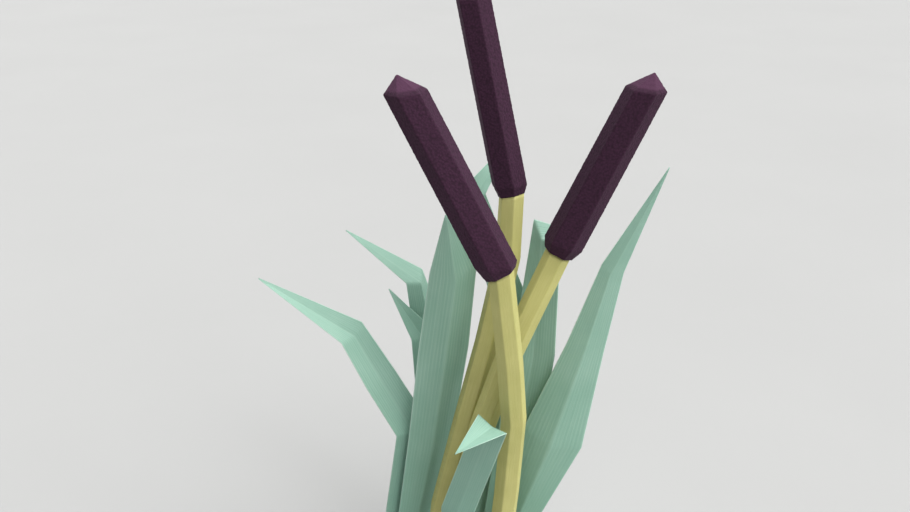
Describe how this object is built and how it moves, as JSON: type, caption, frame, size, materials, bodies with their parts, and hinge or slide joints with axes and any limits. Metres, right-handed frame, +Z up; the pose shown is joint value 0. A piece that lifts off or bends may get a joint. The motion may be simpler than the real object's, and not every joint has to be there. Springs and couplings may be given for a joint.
{
  "type": "cattail clump",
  "caption": "Upright clump of cattail cut off flat at the ground: stems with dark velvety seed heads rise among folded sword leaves, some with tips bent over.",
  "frame": {"origin": "middle of the flat cut at the foot of stem_right, on the ground plane", "axes": "+Z up, along the clump's height; +X to the right and +Y to the back, seen from the front"},
  "size_m": [0.2935, 0.1603, 0.4752],
  "materials": {
    "stem": "satin green-tan plant stem",
    "seed_head": "matt dark plum-brown velvet of packed florets",
    "leaf": "satin grey-green leaf blade"
  },
  "bodies": {
    "root": {"stem_front": "stem", "head_front": "seed_head", "stem_tall": "stem", "head_tall": "seed_head", "stem_right": "stem", "head_right": "seed_head", "leaf_far_left": "leaf", "leaf_tall_left": "leaf", "leaf_back_left": "leaf", "leaf_small_left": "leaf", "leaf_back_middle": "leaf", "leaf_back_right": "leaf", "leaf_broad_right": "leaf", "leaf_short_front": "leaf"}
  },
  "joints": []
}
